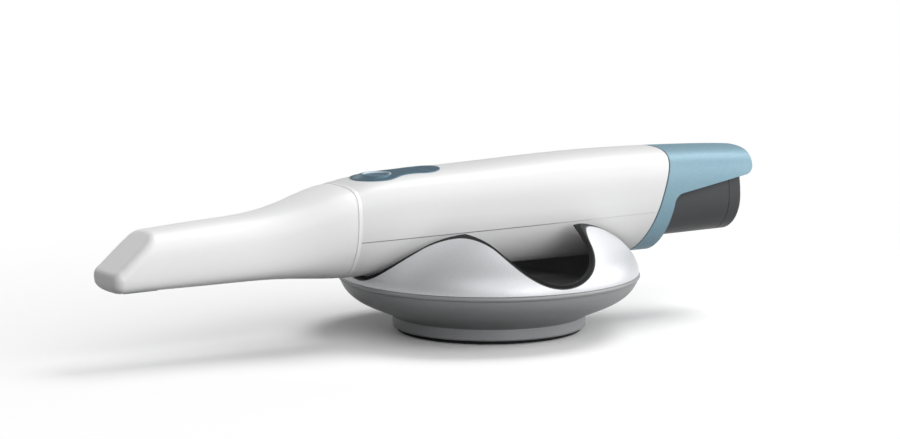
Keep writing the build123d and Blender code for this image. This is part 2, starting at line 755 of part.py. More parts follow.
def frame_wall(start, top):
    """A cross wall of the chassis that follows the inside of the handle."""
    wall = body_skin(HANDLE_WALL + CHASSIS_GAP) & slab(start, start + FRAME_THICKNESS)
    return wall & box(-FAR, FAR, -FAR, FAR, PLATE_Z, top)


def chassis():
    half = PLATE_WIDTH / 2
    middle_end = MIDDLE_FRAME_AT + FRAME_THICKNESS
    frame = box(CHASSIS_FRONT, CHASSIS_BACK, -half, half, PLATE_Z, PLATE_TOP)
    frame = frame + frame_wall(CHASSIS_FRONT, FRAME_TOP) + frame_wall(MIDDLE_FRAME_AT, FRAME_TOP)
    frame = frame + frame_wall(CHASSIS_BACK - FRAME_THICKNESS, FRAME_TOP)
    frame = frame - rod(0, middle_end, BEAM_RADIUS, z=OPTICAL_Z)
    for y in (-ROD_SPREAD, ROD_SPREAD):
        frame = frame - rod(CHASSIS_FRONT, middle_end, ROD_RADIUS, y, OPTICAL_Z)
    rest = SPLITTER_SIZE / 2
    frame = frame + box(SPLITTER_AT - rest, SPLITTER_AT + rest, -rest, rest, PLATE_Z, OPTICAL_Z - rest)
    cradle = CAMERA_START + CAMERA_LENGTH / 2
    frame = frame + box(cradle, cradle + CRADLE_LENGTH, -half, half, PLATE_Z, OPTICAL_Z)
    frame = frame - rod(cradle, cradle + CRADLE_LENGTH, CAMERA_RADIUS + FIT, z=OPTICAL_Z)
    stand = CAMERA_BOARD_AT + BOARD_THICKNESS
    frame = frame + box(stand, stand + PLATE_THICKNESS, -half, half, PLATE_Z, OPTICAL_Z + rest)
    for x, y in chassis_screw_places():
        frame = frame - post(x, y, PLATE_Z, PLATE_TOP, SCREW_RADIUS + FIT)
    return frame


def screw(x, y, seat, direction):
    """Small screw with a round head on its seat and its shaft along z in the given direction."""
    head = post(x, y, 0, SCREW_HEAD, SCREW_HEAD_RADIUS)
    shaft = post(x, y, -SCREW_LENGTH, 0, SCREW_RADIUS)
    made = head + shaft
    if direction > 0:
        made = mirror(made, about=Plane.XY)
    return Pos(0, 0, seat) * made


def chassis_screws():
    return Compound([screw(x, y, PLATE_TOP, -1) for x, y in chassis_screw_places()])


def guide_rods():
    end = MIDDLE_FRAME_AT + FRAME_THICKNESS
    return Compound([rod(CHASSIS_FRONT, end, ROD_RADIUS, y, OPTICAL_Z) for y in (-ROD_SPREAD, ROD_SPREAD)])


def focus_carriage():
    start = CARRIAGE_AT - CARRIAGE_LENGTH / 2
    end = start + CARRIAGE_LENGTH
    made = rod(start, end, CARRIAGE_RADIUS, z=OPTICAL_Z)
    web = CARRIAGE_WEB / 2
    made = made + box(start, end, -ROD_SPREAD, ROD_SPREAD, OPTICAL_Z - web, OPTICAL_Z + web)
    for y in (-ROD_SPREAD, ROD_SPREAD):
        made = made + rod(start, end, EAR_RADIUS, y, OPTICAL_Z)
    for y in (-ROD_SPREAD, ROD_SPREAD):
        made = made - rod(start, end, ROD_RADIUS + ROD_RUNNING_FIT, y, OPTICAL_Z)
    return made - rod(start, end, FOCUS_LENS_RADIUS, z=OPTICAL_Z)


def focus_lens():
    return lens(CARRIAGE_AT, FOCUS_LENS_RADIUS - FIT, FOCUS_LENS_EDGE, FOCUS_LENS_BULGE)


def coil_base():
    return OPTICAL_Z + CARRIAGE_RADIUS + FIT


def focus_coil():
    half, thick = COIL_LENGTH / 2, COIL_THICKNESS / 2
    base = coil_base()
    coil = box(CARRIAGE_AT - half, CARRIAGE_AT + half, -thick, thick, base, base + COIL_HEIGHT)
    window = COIL_HEIGHT / 5
    start, end = CARRIAGE_AT - half / 2, CARRIAGE_AT + half / 2
    hole = box(start, end, -thick, thick, base + 2 * window, base + 3 * window)
    return fillet(coil.edges().filter_by(Axis.Y), COIL_HEIGHT / 4) - hole


def coil_yoke():
    """Steel bridge over the carriage with a magnet wall on each side of the coil."""
    half = YOKE_WIDTH / 2
    end = MIDDLE_FRAME_AT + FRAME_THICKNESS
    made = box(CHASSIS_FRONT, end, -half, half, FRAME_TOP, FRAME_TOP + YOKE_TOP_THICKNESS)
    near = COIL_THICKNESS / 2 + YOKE_GAP
    start = CARRIAGE_AT - YOKE_LENGTH / 2
    for side in (-1, 1):
        inner, outer = sorted((side * near, side * (near + YOKE_WALL)))
        made = made + box(start, start + YOKE_LENGTH, inner, outer, coil_base() + YOKE_GAP, FRAME_TOP)
    return made


def beam_splitter():
    half = SPLITTER_SIZE / 2
    base = OPTICAL_Z - half
    return box(SPLITTER_AT - half, SPLITTER_AT + half, -half, half, base, base + SPLITTER_SIZE)


def lamp_bracket():
    """Arch over the beam splitter with a short barrel for the lamp's lens."""
    inner = SPLITTER_SIZE / 2 + BRACKET_GAP
    outer = inner + BRACKET_WALL
    start, end = SPLITTER_AT - BRACKET_LENGTH / 2, SPLITTER_AT + BRACKET_LENGTH / 2
    arch = box(start, end, -outer, outer, PLATE_TOP, BRACKET_Z + BRACKET_WALL)
    arch = arch - box(start, end, -inner, inner, PLATE_TOP, BRACKET_Z)
    barrel = COLLIMATOR_RADIUS + FIT
    arch = arch + post(SPLITTER_AT, 0, BRACKET_Z, LAMP_BOARD_Z, barrel + LAMP_BARREL_WALL)
    arch = arch - post(SPLITTER_AT, 0, BRACKET_Z + BRACKET_WALL, LAMP_BOARD_Z, barrel)
    return arch - post(SPLITTER_AT, 0, BRACKET_Z, LAMP_BOARD_Z, COLLIMATOR_RADIUS - BRACKET_WALL / 2)


def collimator_lens():
    """Lens with a flat underside, which lies in the lamp bracket's barrel."""
    curve = lens_curve(COLLIMATOR_RADIUS, COLLIMATOR_BULGE)
    base = BRACKET_Z + BRACKET_WALL
    top = base + COLLIMATOR_HEIGHT
    bulge = Pos(SPLITTER_AT, 0, top - curve) * Sphere(curve)
    return post(SPLITTER_AT, 0, base, top, COLLIMATOR_RADIUS) & bulge


def lamp_board():
    half, die = LAMP_BOARD / 2, COLLIMATOR_RADIUS / 4
    top = LAMP_BOARD_Z + BOARD_THICKNESS
    low = LAMP_BOARD_Z - LAMP_DIE_HEIGHT
    board = box(SPLITTER_AT - half, SPLITTER_AT + half, -half, half, LAMP_BOARD_Z, top)
    return board + box(SPLITTER_AT - die, SPLITTER_AT + die, -die, die, low, LAMP_BOARD_Z)


def camera_barrel():
    end = CAMERA_START + CAMERA_LENGTH
    bore = CAMERA_RADIUS - CAMERA_WALL
    return rod(CAMERA_START, end, CAMERA_RADIUS, z=OPTICAL_Z) - rod(CAMERA_START, end, bore, z=OPTICAL_Z)


def camera_lens():
    at = CAMERA_START + CAMERA_LENGTH / 4
    return lens(at, CAMERA_RADIUS - CAMERA_WALL - FIT, CAMERA_LENS_EDGE, CAMERA_LENS_BULGE)


def camera_board():
    half, chip = CAMERA_BOARD / 2, SENSOR_SIZE / 2
    end = CAMERA_BOARD_AT + BOARD_THICKNESS
    board = box(CAMERA_BOARD_AT, end, -half, half, OPTICAL_Z - half, OPTICAL_Z + half)
    face = CAMERA_BOARD_AT - SENSOR_THICKNESS
    return board + box(face, CAMERA_BOARD_AT, -chip, chip, OPTICAL_Z - chip, OPTICAL_Z + chip)


def main_board():
    half = MAIN_BOARD_WIDTH / 2
    end = MAIN_BOARD_START + MAIN_BOARD_LENGTH
    board = box(MAIN_BOARD_START, end, -half, half, MAIN_BOARD_Z, MAIN_BOARD_Z + BOARD_THICKNESS)
    for x, y in board_screw_places():
        board = board - post(x, y, MAIN_BOARD_Z, MAIN_BOARD_Z + BOARD_THICKNESS, SCREW_RADIUS + FIT)
    return board


def board_screws():
    return Compound([screw(x, y, MAIN_BOARD_Z, 1) for x, y in board_screw_places()])


def processor():
    middle = MAIN_BOARD_START + MAIN_BOARD_LENGTH / 2
    half = PROCESSOR_SIZE / 2
    return box(middle - half, middle + half, -half, half, MAIN_BOARD_Z - PROCESSOR_THICKNESS, MAIN_BOARD_Z)


def radio_module():
    end = MAIN_BOARD_START + MAIN_BOARD_LENGTH - RADIO_END_GAP
    half = min(RADIO_WIDTH / 2, BOARD_SCREW_Y - SCREW_HEAD_RADIUS - 2 * FIT)
    return box(end - RADIO_LENGTH, end, -half, half, MAIN_BOARD_Z - RADIO_THICKNESS, MAIN_BOARD_Z)


def contact_block():
    half, rise = CONTACT_BLOCK_WIDTH / 2, CONTACT_BLOCK_HEIGHT / 2
    block = box(CHASSIS_BACK, CHASSIS_BACK + CONTACT_BLOCK_LENGTH, -half, half, -rise, rise)
    for y in pin_places():
        block = block - rod(CHASSIS_BACK + PIN_ROOT, FAR, PIN_RADIUS, y)
    return block


def contact_pins():
    end = CHASSIS_BACK + CONTACT_BLOCK_LENGTH + PIN_REACH
    return Compound([rod(CHASSIS_BACK + PIN_ROOT, end, PIN_RADIUS, y) for y in pin_places()])


def dome_line(wall):
    """The stand's dome in section, from its base to its top."""
    points = quarter(STAND_RADIUS - wall, DOME_RISE - wall, DOME_FULLNESS)
    return Bezier([(r, DOME_BASE + z) for r, z in points])


def dome(outer, inner):
    """Domed wall between two depths below the stand's outer surface."""
    outside = dome_line(outer)
    inside = dome_line(inner)
    edges = [outside, Line(outside @ 1, inside @ 1), inside, Line(inside @ 0, outside @ 0)]
    return revolve(Plane.XZ * make_face(edges), Axis.Z)


def notches(level):
    """Two crossing channels whose wavy floor leaves four rounded lobes on the rim."""
    turn = asin(LOBE_HALF_PITCH / (NOTCH_RADIUS + LOBE_ROUND))
    meet = Vector(NOTCH_RADIUS * sin(turn), level + NOTCH_RADIUS * (1 - cos(turn)))
    peak = Vector(LOBE_HALF_PITCH, level + (NOTCH_RADIUS + LOBE_ROUND) * (1 - cos(turn)))
    crown = peak - Vector(LOBE_ROUND * sin(turn / 2), LOBE_ROUND * (1 - cos(turn / 2)))
    dip = ThreePointArc((-meet.X, meet.Y), (0, level), meet)
    right = ThreePointArc(meet, crown, peak)
    left = ThreePointArc((-peak.X, peak.Y), (-crown.X, crown.Y), (-meet.X, meet.Y))
    lid = Polyline(peak, (peak.X, FAR), (-peak.X, FAR), (-peak.X, peak.Y))
    face = make_face([left, dip, right, lid])
    along_y = extrude(Plane.XZ * face, FAR, both=True)
    along_x = extrude(Plane.YZ * face, FAR, both=True)
    return along_x + along_y


def stand_upper_shell():
    return dome(0, SHELL_WALL) - notches(NOTCH_Z - LIP)


def boss_places():
    reach = STAND_BOSS_CIRCLE / sqrt(2)
    return [(x, y) for x in (-reach, reach) for y in (-reach, reach)]


def saddle_liner():
    """Soft bowl inside the dome, with a lip over the dome's rim and screw bosses below."""
    wall = dome(SHELL_WALL + LINER_GAP, RIM_WALL) - notches(NOTCH_Z)
    lip = (dome(0, SHELL_WALL + LINER_GAP + FIT) & notches(NOTCH_Z - LIP + LINER_GAP)) - notches(NOTCH_Z)
    outside = STAND_RADIUS - BEAD_SET_IN - BOWL_WALL - LINER_GAP
    inside = outside - LINER_WALL
    ledge = STAND_RADIUS - SHELL_WALL - LINER_GAP - FIT
    depth = DOME_BASE - LINER_FLOOR
    turn = (LINER_FLAT_RADIUS, DOME_BASE)
    under = EllipticalCenterArc(turn, outside - LINER_FLAT_RADIUS, depth, -90)
    over = EllipticalCenterArc(turn, inside - LINER_FLAT_RADIUS, depth - LINER_WALL, -90)
    high = DOME_BASE + LEDGE
    edges = [
        under,
        Polyline(under @ 1, (ledge, DOME_BASE), (ledge, high), (inside, high), over @ 1),
        over,
        Polyline(over @ 0, (0, LINER_FLOOR + LINER_WALL), (0, LINER_FLOOR), under @ 0),
    ]
    bowl = revolve(Plane.XZ * make_face(edges), Axis.Z)
    floor = PAD_Z + FLOOR_THICKNESS
    liner = wall + lip + bowl
    for x, y in boss_places():
        liner = liner + post(x, y, floor, LINER_FLOOR, STAND_BOSS_RADIUS)
    for x, y in boss_places():
        liner = liner - post(x, y, floor, floor + STAND_SCREW_LENGTH, STAND_SCREW_RADIUS)
    return liner


def bowl_line(wall):
    """Points down the side of the bowl, from under its bead to the foot."""
    points = []
    for reach, rise, lean in BOWL_CURVE:
        r = mix(FOOT_RADIUS, STAND_RADIUS - BEAD_SET_IN, reach) - wall * cos(radians(lean))
        z = mix(FOOT_TOP, BEAD_Z - BEAD_HEIGHT, rise) + wall * sin(radians(lean))
        points.append((r, z))
    return points


def stand_lower_shell():
    """Bowl with a rolled bead at its edge and a round foot."""
    floor = PAD_Z + FLOOR_THICKNESS
    bead_low = (STAND_RADIUS - BEAD_SET_IN, BEAD_Z - BEAD_HEIGHT)
    bead_high = (STAND_RADIUS - BEAD_SET_IN, BEAD_Z)
    side = Spline(bowl_line(0))
    inner = Spline(bowl_line(BOWL_WALL))
    inner_foot = FOOT_RADIUS - BOWL_WALL
    edges = [
        ThreePointArc(bead_high, (STAND_RADIUS + BEAD_PROUD, BEAD_Z - BEAD_HEIGHT / 2), bead_low),
        side,
        FilletPolyline(side @ 1, (FOOT_RADIUS, PAD_Z), (0, PAD_Z), radius=FOOT_EDGE),
        Polyline((0, PAD_Z), (0, floor), (inner_foot, floor), inner @ 1),
        inner,
        Polyline(inner @ 0, ((inner @ 0).X, BEAD_Z), bead_high),
    ]
    shell = revolve(Plane.XZ * make_face(edges), Axis.Z)
    for x, y in boss_places():
        shell = shell - post(x, y, PAD_Z, floor, STAND_SCREW_RADIUS + FIT)
        shell = shell - post(x, y, PAD_Z, PAD_Z + STAND_SCREW_HEAD + FIT, STAND_SCREW_HEAD_RADIUS + FIT)
    return shell


def stand_ballast():
    base = PAD_Z + FLOOR_THICKNESS
    plate = post(0, 0, base, base + BALLAST_THICKNESS, BALLAST_RADIUS)
    for x, y in boss_places():
        plate = plate - post(x, y, base, base + BALLAST_THICKNESS, STAND_BOSS_RADIUS + 4 * FIT)
    return plate


def stand_screws():
    seat = PAD_Z + STAND_SCREW_HEAD
    made = []
    for x, y in boss_places():
        head = post(x, y, PAD_Z, seat, STAND_SCREW_HEAD_RADIUS)
        made.append(head + post(x, y, seat, seat + STAND_SCREW_LENGTH, STAND_SCREW_RADIUS))
    return Compound(made)


def foot_pad():
    return post(0, 0, 0, PAD_Z, FOOT_PAD_RADIUS)


SCANNER = {
    "tip_shell": tip_shell,
    "tip_window": tip_window,
    "tip_mirror": tip_mirror,
    "nose_tube": nose_tube,
    "nose_pane": nose_pane,
    "grip_ring": grip_ring,
    "collar_ring": collar_ring,
    "handle_upper_shell": handle_upper_shell,
    "handle_lower_shell": handle_lower_shell,
    "control_panel": control_panel,
    "light_ring": light_ring,
    "scan_button": scan_button,
    "mode_button": mode_button,
    "switch_board": switch_board,
    "switches": switches,
    "rear_hood": rear_hood,
    "battery_case": battery_case,
    "battery_end_cap": battery_end_cap,
    "battery_cells": lambda: Compound(cells(0)),
    "battery_contacts": lambda: Compound(pads()),
    "chassis": chassis,
    "chassis_screws": chassis_screws,
    "guide_rods": guide_rods,
    "focus_carriage": focus_carriage,
    "focus_lens": focus_lens,
    "focus_coil": focus_coil,
    "coil_yoke": coil_yoke,
    "beam_splitter": beam_splitter,
    "lamp_bracket": lamp_bracket,
    "collimator_lens": collimator_lens,
    "lamp_board": lamp_board,
    "camera_barrel": camera_barrel,
    "camera_lens": camera_lens,
    "camera_board": camera_board,
    "main_board": main_board,
    "board_screws": board_screws,
    "processor": processor,
    "radio_module": radio_module,
    "contact_block": contact_block,
    "contact_pins": contact_pins,
}

STAND = {
    "stand_upper_shell": stand_upper_shell,
    "saddle_liner": saddle_liner,
    "stand_lower_shell": stand_lower_shell,
    "stand_ballast": stand_ballast,
    "stand_screws": stand_screws,
    "foot_pad": foot_pad,
}


def main():
    os.makedirs("parts", exist_ok=True)
    for name, make in SCANNER.items():
        export_step(AT_REST * make(), f"parts/{name}.step")
    for number, at in enumerate(RELAY_LENS_AT, start=1):
        export_step(AT_REST * relay_lens(at), f"parts/relay_lens_{number}.step")
    for name, make in STAND.items():
        export_step(make(), f"parts/{name}.step")


main()
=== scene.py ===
# %% [markdown]
# # A cordless mouth scanner resting in its desk stand
#
# The solids come from the CAD model, already in place and in metres. This lesson
# keeps every solid where it is and gives it the surface of the real piece: moulded
# white plastic, pearl blue paint, silver lacquer, soft rubber, coated glass and
# the metals inside.

import json
import math

import bmesh
import bpy
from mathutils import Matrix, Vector


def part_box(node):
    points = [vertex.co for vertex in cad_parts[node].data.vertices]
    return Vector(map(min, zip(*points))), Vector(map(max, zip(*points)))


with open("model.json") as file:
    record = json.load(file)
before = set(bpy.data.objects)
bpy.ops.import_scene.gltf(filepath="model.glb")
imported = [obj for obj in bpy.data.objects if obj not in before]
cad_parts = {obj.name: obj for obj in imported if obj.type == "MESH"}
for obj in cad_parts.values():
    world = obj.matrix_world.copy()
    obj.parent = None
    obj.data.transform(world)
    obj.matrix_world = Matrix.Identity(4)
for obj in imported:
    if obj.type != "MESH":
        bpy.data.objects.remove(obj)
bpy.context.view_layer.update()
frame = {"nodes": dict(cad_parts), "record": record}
nodes = frame["nodes"]
scene = bpy.context.scene

# %% [markdown]
# ## The camera
#
# The picture was taken from the left front, a little above the desk, with a long
# lens, so that lines hardly converge. A 200 mm lens two metres away does the same.

# %% Set the camera
CAMERA_PLACE = (-1.04272, -1.77345, 0.37149)
CAMERA_TILT = math.radians(81)
CAMERA_SWING = math.radians(-30)

camera_data = bpy.data.cameras.new("studio_camera")
camera_data.sensor_width = 36
camera_data.lens = 200
camera = bpy.data.objects.new("studio_camera", camera_data)
camera.location = CAMERA_PLACE
camera.rotation_euler = (CAMERA_TILT, 0, CAMERA_SWING)
scene.collection.objects.link(camera)
scene.camera = camera
scene.view_settings.view_transform = "Standard"
print("camera", round(camera.location.length, 2), "m from the foot of the stand")

# %% [markdown]
# ## Writing materials as sums
#
# A material is a graph of nodes. Wiring each one by hand is slow to read, so the
# class below wraps one socket, and plain arithmetic on it adds Math nodes. All
# other nodes come from `node`, which takes a type, its settings and its inputs.
# Blender counts in metres, so small lengths are written as so many MM or MICRON.

# %% The socket class and the material maker
MM = 0.001
MICRON = 0.000001
EDGE_ROUND = 0.3 * MM
EDGE_SAMPLES = 6


class Value:
    """One output socket of a material; arithmetic on it adds Math nodes."""

    def __init__(self, finish, socket):
        self.finish = finish
        self.socket = socket

    def math(self, operation, a, b):
        return self.finish.node("ShaderNodeMath", {"operation": operation}, {"Value": a, "Value_001": b})

    def __add__(self, other):
        return self.math("ADD", self, other)

    __radd__ = __add__

    def __mul__(self, other):
        return self.math("MULTIPLY", self, other)

    __rmul__ = __mul__

    def __sub__(self, other):
        return self.math("SUBTRACT", self, other)

    def __rsub__(self, other):
        return self.math("SUBTRACT", other, self)

    def __abs__(self):
        return self.math("MAXIMUM", self, 0 - self)


class Finish:
    """A new material with an empty graph."""

    def __init__(self, name):
        self.material = bpy.data.materials.new(name)
        self.material.use_nodes = True
        self.tree = self.material.node_tree
        self.tree.nodes.clear()

    def node(self, kind, settings, inputs, output=None):
        """Add a node and return one output, or the material where the node has none."""
        made = self.tree.nodes.new(kind)
        for key, value in settings.items():
            setattr(made, key, value)
        for key, value in inputs.items():
            socket = self.pick(made.inputs, key)
            if isinstance(value, Value):
                self.tree.links.new(value.socket, socket)
            else:
                socket.default_value = value
        if not made.outputs:
            return self.material
        return Value(self, self.pick(made.outputs, output) if output else made.outputs[0])

    def pick(self, sockets, key):
        """The enabled socket with this name, or with this identifier where names repeat."""
        return next(s for s in sockets if s.enabled and key in (s.identifier, s.name))

    def place(self, scale=(1, 1, 1)):
        """Where a point is on the object, stretched as asked."""
        here = self.node("ShaderNodeTexCoord", {}, {}, "Object")
        return self.node("ShaderNodeMapping", {}, {"Vector": here, "Scale": scale})

    def axes(self):
        """The three coordinates of a point on the object, in metres."""
        here = self.node("ShaderNodeTexCoord", {}, {}, "Object")
        return [self.node("ShaderNodeSeparateXYZ", {}, {"Vector": here}, axis) for axis in "XYZ"]

    def noise(self, size, detail=2, where=None):
        """A smooth random pattern from 0 to 1 whose patches are about `size` metres."""
        where = where or self.place()
        return self.node("ShaderNodeTexNoise", {}, {"Vector": where, "Scale": 1 / size, "Detail": detail})

    def flakes(self, size):
        """A brightness from 0 to 1 for each flake of about `size` metres."""
        cells = self.node("ShaderNodeTexVoronoi", {}, {"Vector": self.place(), "Scale": 1 / size}, "Color")
        return self.node("ShaderNodeSeparateColor", {}, {"Color": cells}, "Red")

    def rise(self, value, low, high):
        """0 below one level, 1 above another, and a smooth rise between them."""
        ends = {"Value": value, "From Min": low, "From Max": high}
        return self.node("ShaderNodeMapRange", {"interpolation_type": "SMOOTHSTEP"}, ends)

    def reach(self, first, second):
        """The length of a line that goes `first` one way and `second` at right angles to it."""
        corner = self.node("ShaderNodeCombineXYZ", {}, {"X": first, "Y": second})
        return self.node("ShaderNodeVectorMath", {"operation": "LENGTH"}, {"Vector": corner}, "Value")

    def blend(self, share, first, second):
        """Between two colours, by a share from 0 to 1."""
        return self.node(
            "ShaderNodeMix",
            {"data_type": "RGBA"},
            {"Factor_Float": share, "A_Color": first, "B_Color": second},
            "Result_Color",
        )

    def bump(self, height, depth):
        """A surface normal from a height pattern `depth` metres deep, with softened edges."""
        soft = self.node("ShaderNodeBevel", {"samples": EDGE_SAMPLES}, {"Radius": EDGE_ROUND})
        return self.node("ShaderNodeBump", {}, {"Height": height, "Distance": depth, "Normal": soft})

    def surface(self, **sockets):
        """The Principled shader, with underscores for the spaces in its socket names."""
        inputs = {key.replace("_", " "): value for key, value in sockets.items()}
        shader = self.node("ShaderNodeBsdfPrincipled", {}, inputs)
        return self.node("ShaderNodeOutputMaterial", {}, {"Surface": shader})


def colour(red, green, blue):
    """A screen colour from 0 to 255 as the linear light that a shader works in."""
    parts = (value / 255 for value in (red, green, blue))
    return (*(p / 12.92 if p <= 0.04045 else ((p + 0.055) / 1.055) ** 2.4 for p in parts), 1)


print("mid grey in linear light", round(colour(128, 128, 128)[0], 3))

# %% [markdown]
# ## Floor and light
#
# The scanner stands on a seamless white sweep. Near the stand the floor is a plain
# matt surface, which takes the soft shadow. Further out it turns into an even white
# that the camera and shiny surfaces see, while the light that bounces back up onto
# the object stays at the lower level of a real desk.

# %% Make the floor
FLOOR_HALF = 8
FLOOR_DROP = 0.4 * MM
MATT_REACH = 0.11
WHITE_REACH = 0.31
MATT_WHITE = (0.96, 0.96, 0.96, 1)
DESK_GREY = (0.07, 0.07, 0.072, 1)

floor_mesh = bpy.data.meshes.new("studio_floor")
sweep = bmesh.new()
bmesh.ops.create_grid(sweep, x_segments=1, y_segments=1, size=FLOOR_HALF)
bmesh.ops.translate(sweep, verts=sweep.verts, vec=(0, 0, -FLOOR_DROP))
sweep.to_mesh(floor_mesh)
sweep.free()
studio_floor = bpy.data.objects.new("studio_floor", floor_mesh)
scene.collection.objects.link(studio_floor)

paper = Finish("white_sweep")
here = paper.node("ShaderNodeTexCoord", {}, {}, "Object")
radius = paper.node("ShaderNodeVectorMath", {"operation": "LENGTH"}, {"Vector": here}, "Value")
ends = {"Value": radius, "From Min": MATT_REACH, "From Max": WHITE_REACH}
far = paper.node("ShaderNodeMapRange", {}, ends)
ray_kinds = ("Is Camera Ray", "Is Glossy Ray", "Is Transmission Ray")
seen = sum(paper.node("ShaderNodeLightPath", {}, {}, kind) for kind in ray_kinds)
matt = paper.node("ShaderNodeBsdfDiffuse", {}, {"Color": MATT_WHITE})
desk = paper.node("ShaderNodeBsdfDiffuse", {}, {"Color": DESK_GREY})
white = paper.node("ShaderNodeEmission", {}, {"Strength": 1.0})
shown = paper.node("ShaderNodeMixShader", {}, {"Fac": far, "Shader": matt, "Shader_001": white})
either = paper.node("ShaderNodeMixShader", {}, {"Fac": seen, "Shader": desk, "Shader_001": shown})
paper.node("ShaderNodeOutputMaterial", {}, {"Surface": either})
floor_mesh.materials.append(paper.material)
print("floor", tuple(round(side, 1) for side in studio_floor.dimensions))

# %% [markdown]
# One softbox hangs high behind the tail and throws the soft shadow to the left and
# forward. A very wide one in front lights the near side almost without a shadow. Two
# low ones reach into the saddle and along the right flank, a weak one fills the back,
# and the room is dim.

# %% Hang the lamps
LAMP_AIM = Vector((0, 0, 0.04))
ROOM_LIGHT = 0.18


def softbox(name, place, size, watts):
    """A rectangular lamp that looks at the middle of the object."""
    data = bpy.data.lights.new(name, "AREA")
    data.shape = "RECTANGLE"
    data.size, data.size_y = size
    data.energy = watts
    lamp = bpy.data.objects.new(name, data)
    lamp.location = place
    lamp.rotation_euler = (LAMP_AIM - Vector(place)).to_track_quat("-Z", "Y").to_euler()
    scene.collection.objects.link(lamp)
    return lamp


lamps = [
    softbox("key_softbox", place=(0.95, 0.17, 1.45), size=(0.9, 0.9), watts=16),
    softbox("front_softbox", place=(-0.15, -1.46, 0.98), size=(3.0, 1.7), watts=22),
    softbox("low_softbox", place=(0.10, -1.68, 0.36), size=(0.9, 0.5), watts=5.5),
    softbox("side_softbox", place=(1.45, -0.70, 0.55), size=(1.6, 0.9), watts=16),
    softbox("back_softbox", place=(-0.30, 1.70, 0.80), size=(1.6, 0.9), watts=7),
]

room = bpy.data.worlds.new("studio_room")
scene.world = room
room.use_nodes = True
walls = room.node_tree.nodes["Background"]
walls.inputs["Color"].default_value = (1, 1, 1, 1)
walls.inputs["Strength"].default_value = ROOM_LIGHT
print("lamps", [lamp.name for lamp in lamps])

# %% [markdown]
# ## White moulded plastic
#
# Tip and handle are moulded in a white plastic that is wiped down between patients.
# The mould is spark-eroded, which leaves a very fine grain, and handling polishes
# it unevenly. A coarse noise varies the gloss and the tint, a fine one the grain.
#
# The two halves of the handle meet along the side. The joint is open by a hair at the
# grip, where it gathers shade, and closes towards the tail. The shade is worked out
# from the distance to the joint, whose level and slope come from the lower half's box
# and from the direction in which the battery slides.

# %% Find the joint between the two halves of the handle
JOINT_DARK = 0.08 * MM
JOINT_CLEAR = 0.3 * MM
CLOSING_START = 0.55
CLOSING_END = 0.8

joint_start, joint_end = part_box("handle_lower_shell")
slides = {joint["name"]: joint["axis"] for joint in frame["record"]["behaviour"]["joints"]}
slope = slides["battery_slide"][2] / slides["battery_slide"][0]
joint_length = joint_end[0] - joint_start[0]
joint_rise = math.atan(slope)
print("joint", round(joint_length / MM, 1), "mm long, rising", round(math.degrees(joint_rise), 2), "degrees")


def joint_shade(finish):
    """1 in the open part of the joint, 0 elsewhere."""
    along, _, up = finish.axes()
    above = up - joint_end[2] - (along - joint_end[0]) * slope
    line = 1 - finish.rise(abs(above), JOINT_DARK, JOINT_CLEAR)
    first = joint_start[0] + CLOSING_START * joint_length
    last = joint_start[0] + CLOSING_END * joint_length
    return line * (1 - finish.rise(along, first, last))


# %% Mix the white plastic
DULLING = 0.965
POLISH_SPREAD = 0.12
JOINT_STRENGTH = 0.75
JOINT_GREY = colour(70, 70, 72)


def moulded_white(name, tint, gloss, grain, shade=None):
    """White plastic with a grain `grain` metres deep, and darker where `shade` is 1."""
    finish = Finish(name)
    cloud = finish.noise(35 * MM, detail=3)
    spark = finish.noise(0.45 * MM, detail=1)
    dull = tuple(DULLING * part for part in tint[:3]) + (1,)
    tone = finish.blend(cloud, tint, dull)
    if shade:
        tone = finish.blend(shade(finish) * JOINT_STRENGTH, tone, JOINT_GREY)
    return finish.surface(
        Base_Color=tone,
        Roughness=cloud * POLISH_SPREAD + (gloss - POLISH_SPREAD / 2),
        Normal=finish.bump(spark, grain),
        Coat_Weight=0.06,
        Coat_Roughness=0.2,
    )


white_shell = moulded_white("white_moulded_shell", colour(229, 229, 229), 0.42, 4 * MICRON, joint_shade)
tip_white = moulded_white("white_sterile_tip", colour(243, 243, 243), 0.45, 3 * MICRON)
white_ring = moulded_white("white_collar_gloss", colour(250, 250, 250), 0.25, 1 * MICRON)
print("white plastics", white_shell.name, tip_white.name, white_ring.name)

# %% [markdown]
# ## Pearl blue paint
#
# Hood and control panel are sprayed in a pale blue with a little metal flake. The
# flakes are far smaller than a pixel here, so a voronoi pattern gives each one its
# own brightness, and a clear lacquer on top carries the highlights. Where the hood
# meets the handle, a thin line of shade is painted along its edge.

# %% Spray the blue paint
SEAM_SLANT = math.radians(20)
SEAM_DARK = 0.4 * MM
SEAM_CLEAR = 0.9 * MM
SEAM_STRENGTH = 0.8
SEAM_SHADE_BLUE = colour(52, 70, 80)
BLUE_FLAKE = 1 / 2600
seam_lean = SEAM_SLANT - joint_rise


def seam_shade(finish):
    """1 on the painted line of shade at the hood's seam, 0 behind it."""
    along, _, up = finish.axes()
    back = (along - joint_end[0]) * math.cos(seam_lean)
    lift = (up - joint_end[2]) * math.sin(seam_lean)
    return 1 - finish.rise(back - lift, SEAM_DARK, SEAM_CLEAR)


def pearl_blue(name, light, deep, metal, gloss, shade=None):
    """Flake paint between two blues, and darker where `shade` is 1."""
    finish = Finish(name)
    sparkle = finish.flakes(BLUE_FLAKE)
    cloud = finish.noise(30 * MM)
    tone = finish.blend(sparkle * 0.35 + cloud * 0.5, light, deep)
    if shade:
        tone = finish.blend(shade(finish) * SEAM_STRENGTH, tone, SEAM_SHADE_BLUE)
    return finish.surface(
        Base_Color=tone,
        Metallic=metal,
        Roughness=sparkle * 0.08 + gloss,
        Normal=finish.bump(sparkle, 2 * MICRON),
        Coat_Weight=0.04,
        Coat_Roughness=0.2,
    )


